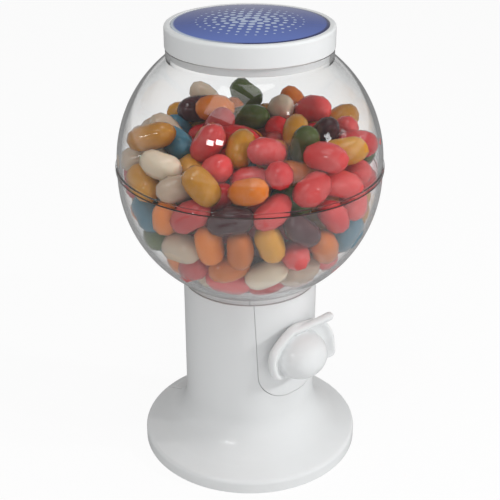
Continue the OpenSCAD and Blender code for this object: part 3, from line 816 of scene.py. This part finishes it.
def label_print(name):
    material, tree, shader, _ = new_material(name)
    where = place(tree, "ShaderNodeTexCoord").outputs["Object"]
    split = place(tree, "ShaderNodeSeparateXYZ", {"Vector": where})
    x, y = split.outputs[0], split.outputs[1]
    radius = from_centre(tree, x, y)
    pitch = LABEL_PITCH
    ring = calculate(tree, "MAXIMUM", calculate(tree, "ROUND", divided(tree, radius, pitch)), 1.0)
    count = times(tree, ring, 6.0)
    turn = divided(tree, calculate(tree, "ARCTAN2", y, x), 2 * math.pi)
    offset = times(tree, ring, 0.37)
    cell = plus(tree, times(tree, turn, count), offset)
    side = minus(tree, calculate(tree, "FRACT", cell), 0.5)
    girth = times(tree, radius, 2 * math.pi)
    across = times(tree, divided(tree, side, count), girth)
    along = minus(tree, radius, times(tree, ring, pitch))
    away = from_centre(tree, across, along)
    size = spread(tree, radius, 0.003, 0.022, LARGEST_DOT, SMALLEST_DOT)
    dot = spread(tree, minus(tree, away, size), 0.0001, -0.0001)
    dots = times(tree, dot, spread(tree, radius, 0.0225, 0.0215))
    # Painted light: the blue ground is painted paler towards the front left.
    painted_light_slope = plus(tree, times(tree, x, -9.0), times(tree, y, -11.0))
    ground_with_painted_light = blend_colours(tree, spread(tree, painted_light_slope, -0.3, 0.35), DEEP_BLUE, PAINTED_LIT_BLUE)
    printed = blend_colours(tree, dots, ground_with_painted_light, (0.5, 0.6, 0.8, 1))
    rim = spread(tree, radius, 0.0302, 0.031)
    # Painted highlight: the rim is painted pale on its left side and dark navy elsewhere.
    highlight_side_slope = plus(tree, times(tree, x, -0.7), times(tree, y, 0.35))
    left = spread(tree, highlight_side_slope, 0.008, 0.022)
    rim_with_painted_highlight = blend_colours(tree, left, (0.012, 0.02, 0.11, 1), (0.55, 0.62, 0.72, 1))
    film = place(tree, "ShaderNodeTexNoise", {"Vector": where, "Scale": 90.0, "Detail": 3.0})
    dress(tree, shader, Base_Color=blend_colours(tree, rim, printed, rim_with_painted_highlight),
          Roughness=spread(tree, film, 0.35, 0.75, 0.12, 0.24), Normal=bumped(tree, film, 0.05, 0.0005),
          Specular_IOR_Level=0.15, Coat_Weight=0.8, Coat_Roughness=0.03)
    return material


label_finish = label_print("label_print")
LABEL_EDGE = 0.0008
dome = label_box[1].z - label_floor - LABEL_EDGE
label_outline = [(0, label_floor, 0), (label_radius, label_floor, 0)] + [
    (label_radius * i / 24, label_floor + LABEL_EDGE + dome * (1 - (i / 24) ** 2), 0.0005 if i == 24 else 0)
    for i in range(24, -1, -1)]
turned("lid_label_dome", label_outline, 160, label_finish, "lid", "label_resin", "lid_label")


# %% [markdown]
# ## Casings with cut-outs
#
# The pedestal and its front panel aren't round all over: they are cut for each
# other, for the shaft and for the sweets. Their shape is already right, so each
# is kept as it is, as one connected surface with smooth normals, and only the
# light on it changes.

# %% Smooth copies of the pedestal and the front panel
def merged_copy(node, finish, sharp_degrees=32):
    source = nodes[node].data
    mesh = bpy.data.meshes.new(node + "_smooth")
    mesh.from_pydata([v.co for v in source.vertices], [], [p.vertices[:] for p in source.polygons])
    mesh.materials.append(finish)
    return smooth_mesh(mesh, sharp_degrees, weld=2e-6)


for name, node in (("pedestal_moulding", "pedestal"), ("panel_moulding", "front_panel")):
    add_piece(name, merged_copy(node, shell_white), "machine", "white_plastic", node)


# %% [markdown]
# ## The knob
#
# A knob that fingers turn has no sharp edge anywhere. Its wings are a thin dish
# with a rolled rim round the left one, a broad dome swells out of the middle,
# and a round bar along the top gives the finger a hold. The front is worked out
# as a height over the outline, the bar is a tapered tube, and both are poured
# again together in voxels a third of a millimetre wide and rubbed down, as a
# polished mould would leave them.

# %% The knob's outline and heights
knob_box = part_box("knob")
knob_back = knob_box[1].y
shaft_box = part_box("drive_shaft")
knob_height = (shaft_box[0].z + shaft_box[1].z) / 2
KNOB_EDGE = [(17.0, 4.8), (14.4, 8.2), (11.4, 10.2), (7.5, 11.3), (3.0, 12.1), (-3.2, 12.9), (-7.4, 12.1),
             (-13.9, 8.6), (-18.2, 5.2), (-19.4, 1.4), (-19.3, -2.6), (-18.0, -6.8), (-15.8, -9.2),
             (-12.2, -10.6), (-8.0, -11.7), (-3.0, -12.7), (2.0, -13.0), (6.0, -12.8), (10.0, -12.0),
             (13.6, -11.0), (17.2, -10.2), (19.0, -7.8), (19.2, -3.2), (18.7, 0.8)]
KNOB_MM = 0.001
PLATE, EDGE_ROUND = 2.2, 1.2
CURL_START, CURL_RADIUS, CURL_MOST = 12.0, 11.6, 9.0
BORE_RADIUS, BORE_DEPTH = 3.3, 7.3
DOME_HIGH, DOME_WIDE, DOME_TALL = 12.2, 12.4, 10.8
BAR_START, BAR_END = Vector((-6.5, 10.4, 2.6)), Vector((14.9, 11.2, 4.4))
BAR_THIN, BAR_THICK, BAR_SIDES = 1.4, 1.95, 24


def knob_spot(u, v, w):
    """Place in the machine of a point across, up and out from the knob's back, in millimetres."""
    return (u * KNOB_MM, knob_back - w * KNOB_MM, knob_height + v * KNOB_MM)


def smooth_loop(corners, steps):
    """A closed curve through the corners."""
    points, n = [], len(corners)
    for i in range(n):
        before, start, end, after = (Vector(corners[(i + k) % n]) for k in (-1, 0, 1, 2))
        for k in range(steps):
            t = k / steps
            bend = 2 * before - 5 * start + 4 * end - after
            points.append(0.5 * (2 * start + (end - before) * t + bend * t * t
                                 + (3 * start - before - 3 * end + after) * t ** 3))
    return points


def soft_max(a, b, width):
    near = max(width - abs(a - b), 0.0) / width
    return max(a, b) + near * near * width / 4


def knob_back_face(u, v):
    out = max(math.hypot(u, v) - CURL_START, 0.0)
    curl = 0.4 + 0.6 * min(max((u + 6) / 12, 0), 1)
    return curl * (CURL_RADIUS - math.sqrt(CURL_RADIUS ** 2 - min(out, CURL_MOST) ** 2))


def knob_front_face(u, v, from_edge):
    """Height of the front over the back plane: plate, rolled rim and dome."""
    turn = math.degrees(math.atan2(v, u)) % 360
    left = min(max((turn - 95) / 30, 0), 1) * min(max((238 - turn) / 16, 0), 1)
    rim = 1.9 * left * math.exp(-(((from_edge - 2.0) / 2.0) ** 2))
    right = 1 if abs(turn - 360) < 45 or turn < 35 else 0.3
    lobe = 0.9 * (1 - left) * math.exp(-(((from_edge - 1.6) / 1.8) ** 2)) * right
    plate = knob_back_face(u, v) + PLATE + rim + lobe
    away = math.hypot((u + 1.1) / DOME_WIDE, (v + 2.1) / DOME_TALL)
    swell = DOME_HIGH * max(1 - away ** 2.3, 0.0) ** (1 / 2.1)
    return soft_max(plate, 1.7 + swell, 1.6)


# %% The knob's body, its bar, and the pour
def knob_body():
    """Closed mesh: front rings, a rounded edge, back rings and the blind bore for the shaft."""
    edge = smooth_loop(KNOB_EDGE, 7)
    body = bmesh.new()
    loops = []
    shares = [math.sin(math.pi / 2 * i / 40) for i in range(1, 41)]

    def ring(points):
        loops.append([body.verts.new(knob_spot(*point)) for point in points])

    def faces_at(e, share):
        """Place on the outline's spoke, and heights of front and back there, drawn together at the edge."""
        u, v = e * share
        from_edge = e.length * (1 - share)
        round_off = math.sqrt(1 - (1 - min(from_edge / EDGE_ROUND, 1)) ** 2)
        front, back = knob_front_face(u, v, from_edge), knob_back_face(u, v)
        middle = back + 1.15
        return Vector((u, v)), middle + (front - middle) * round_off, middle + (back - middle) * round_off

    for share in shares:
        row = []
        for e in edge:
            spot, front, _ = faces_at(e, share)
            row.append((*spot, front))
        ring(row)
    for share in reversed(shares[:-1]):
        row = []
        for e in edge:
            spot, _, back = faces_at(e, share)
            if spot.length < BORE_RADIUS:
                spot = e.normalized() * BORE_RADIUS
            row.append((*spot, back))
        ring(row)
    ring([(*(e.normalized() * BORE_RADIUS), BORE_DEPTH) for e in edge])
    n = len(edge)
    for a, b in zip(loops, loops[1:]):
        for i in range(n):
            body.faces.new((a[i], a[(i + 1) % n], b[(i + 1) % n], b[i]))
    for loop, height in ((loops[0], knob_front_face(0, 0, 18)), (loops[-1], BORE_DEPTH)):
        tip = body.verts.new(knob_spot(0, 0, height))
        for i in range(n):
            body.faces.new((loop[i], loop[(i + 1) % n], tip))
    bmesh.ops.remove_doubles(body, verts=body.verts[:], dist=1e-6)
    bmesh.ops.recalc_face_normals(body, faces=body.faces[:])
    return body


def knob_bar(body):
    """Tapered tube with round ends along the top of the wings."""
    start, end, thin, thick = BAR_START, BAR_END, BAR_THIN, BAR_THICK
    along = (end - start).normalized()
    side = along.cross(Vector((0, 0, 1))).normalized()
    over = side.cross(along)
    rows = []
    for i in range(7):
        a = math.pi / 2 * (1 - i / 6)
        rows.append((start - along * thin * math.sin(a), max(thin * math.cos(a), 0.01)))
    for i in range(1, 12):
        share = i / 12
        rows.append((start.lerp(end, share), thin + (thick - thin) * share))
    for i in range(7):
        a = math.pi / 2 * i / 6
        rows.append((end + along * thick * math.sin(a), max(thick * math.cos(a), 0.01)))
    loops = []
    for middle, radius in rows:
        turns = [2 * math.pi * k / BAR_SIDES for k in range(BAR_SIDES)]
        spots = [middle + radius * (side * math.cos(a) + over * math.sin(a)) for a in turns]
        loops.append([body.verts.new(knob_spot(*spot)) for spot in spots])
    made = [body.faces.new((a[i], a[(i + 1) % BAR_SIDES], b[(i + 1) % BAR_SIDES], b[i]))
            for a, b in zip(loops, loops[1:]) for i in range(BAR_SIDES)]
    made += [body.faces.new(loops[0]), body.faces.new(loops[-1])]
    bmesh.ops.recalc_face_normals(body, faces=made)


def poured_knob(voxel, rubs):
    body = knob_body()
    knob_bar(body)
    mesh = bpy.data.meshes.new("knob_parts")
    body.to_mesh(mesh)
    body.free()
    worker = work_on(mesh)
    pour = worker.modifiers.new("pour", "REMESH")
    pour.mode, pour.voxel_size, pour.adaptivity = "VOXEL", voxel, 0.0
    rub = worker.modifiers.new("rub", "SMOOTH")
    rub.factor, rub.iterations = 0.5, rubs
    finished = plain_result(worker)
    finished.shade_smooth()
    finished.materials.clear()
    finished.materials.append(handled_white)
    return finished


KNOB_VOXEL, KNOB_RUBS = 0.00035, 10
knob_mesh = poured_knob(KNOB_VOXEL, KNOB_RUBS)
add_piece("turning_knob", knob_mesh, "knob", "white_plastic", "knob")
spots = [v.co for v in knob_mesh.vertices]
for axis in range(3):
    print("xyz"[axis], [round(f(p[axis] for p in spots), 5) for f in (min, max)],
          "packed", [round(knob_box[k][axis], 5) for k in (0, 1)])

# %% [markdown]
# ## The floor and the light
#
# A plain pale sheet under the machine keeps its soft shadow. Where the eye looks
# at it, straight or through the clear plastic, floor and room are white. A
# reflection sees a dimmer room, palest at the horizon, or the beans would look
# milky. The light that falls on the machine is kept at a plain level of its own.

# %% The floor
def straight_ray(tree):
    """1 for the camera's rays, straight or bent by clear plastic, and 0 for reflections and fill light."""
    path = place(tree, "ShaderNodeLightPath")
    bounced = plus(tree, path.outputs["Glossy Depth"], path.outputs["Diffuse Depth"])
    bent = times(tree, path.outputs["Is Transmission Ray"],
                     calculate(tree, "LESS_THAN", bounced, 0.5))
    return calculate(tree, "MAXIMUM", path.outputs["Is Camera Ray"], bent), path


PAPER, WHITE_SHARE = 0.85, 0.93
MIRRORED_FLOOR, MIRRORED_SHARE = 0.25, 0.7


def floor_finish():
    material = bpy.data.materials.new("pale_floor")
    material.use_nodes = True
    tree = material.node_tree
    tree.nodes.clear()
    paper = place(tree, "ShaderNodeBsdfDiffuse", {"Color": grey(PAPER)})
    white = place(tree, "ShaderNodeEmission", {"Color": grey(1.0), "Strength": 1.0})
    straight, path = straight_ray(tree)
    share = times(tree, straight, WHITE_SHARE)
    pale = place(tree, "ShaderNodeEmission", {"Color": grey(1.0), "Strength": MIRRORED_FLOOR})
    mirrored = calculate(tree, "GREATER_THAN", path.outputs["Glossy Depth"], 0.5)
    seen = place(tree, "ShaderNodeMixShader", {
        0: times(tree, mirrored, MIRRORED_SHARE), 1: paper, 2: pale})
    mix = place(tree, "ShaderNodeMixShader", {0: share, 1: seen, 2: white})
    place(tree, "ShaderNodeOutputMaterial", {0: mix})
    return material


floor_mesh = bpy.data.meshes.new("floor")
FLOOR_HALF = 4
floor_corners = [(x * FLOOR_HALF, y * FLOOR_HALF, 0) for x, y in ((-1, -1), (1, -1), (1, 1), (-1, 1))]
floor_mesh.from_pydata(floor_corners, [], [(0, 1, 2, 3)])
floor_mesh.materials.append(floor_finish())
floor = bpy.data.objects.new("floor", floor_mesh)
scene.collection.objects.link(floor)

# %% The world
ROOM_LIGHT = 0.38
ROOM_GLOW, HORIZON_GLOW = 0.2, 0.62
world = bpy.data.worlds.new("studio")
scene.world = world
world.use_nodes = True
world.node_tree.nodes.clear()
studio = world.node_tree
way = place(studio, "ShaderNodeTexCoord").outputs["Generated"]
height = place(studio, "ShaderNodeSeparateXYZ", {"Vector": way}).outputs[2]
backdrop = spread(studio, height, 0.0, 0.25, HORIZON_GLOW, ROOM_GLOW)
straight, path = straight_ray(studio)
mirrored = calculate(studio, "GREATER_THAN", path.outputs["Glossy Depth"], 0.5)
around = plus(studio, times(studio, mirrored, backdrop),
                   times(studio, minus(studio, 1.0, mirrored), ROOM_LIGHT))
strength = calculate(studio, "MAXIMUM", straight, around)
sky = place(studio, "ShaderNodeBackground", {"Color": grey(1.0), "Strength": strength})
place(studio, "ShaderNodeOutputWorld", {0: sky})


# %% The lamps
LAMPS_AIM = Vector((0, 0, 0.11))


def lamp(name, direction, distance, width, height, power, mirrored=True):
    """An area lamp in a direction from the globe, facing it."""
    data = bpy.data.lights.new(name, "AREA")
    data.shape, data.size, data.size_y, data.energy = "RECTANGLE", width, height, power
    light = bpy.data.objects.new(name, data)
    scene.collection.objects.link(light)
    way = Vector(direction).normalized()
    light.location = LAMPS_AIM + way * distance
    light.rotation_euler = (-way).to_track_quat("-Z", "Y").to_euler()
    light.visible_glossy = mirrored


lamp("key", (0.50, -0.78, 0.38), 0.9, 0.08, 0.08, 3.1, False)
lamp("overhead", (0.0, -0.10, 0.99), 0.9, 0.3, 0.3, 0.8, False)
lamp("front_fill", (-0.35, -0.92, 0.3), 1.1, 0.9, 0.7, 1.45, False)
lamp("left_fill", (-0.45, -0.05, 0.89), 0.9, 0.4, 0.4, 1.3, False)
lamp("window_pane_a", (-0.853, -0.141, 0.515), 1.2, 0.12, 0.08, 0.5)
lamp("window_pane_b", (-0.807, -0.262, 0.545), 1.2, 0.12, 0.08, 0.5)
lamp("glint", (0.07, -0.61, 0.79), 0.8, 0.03, 0.03, 0.8, False)
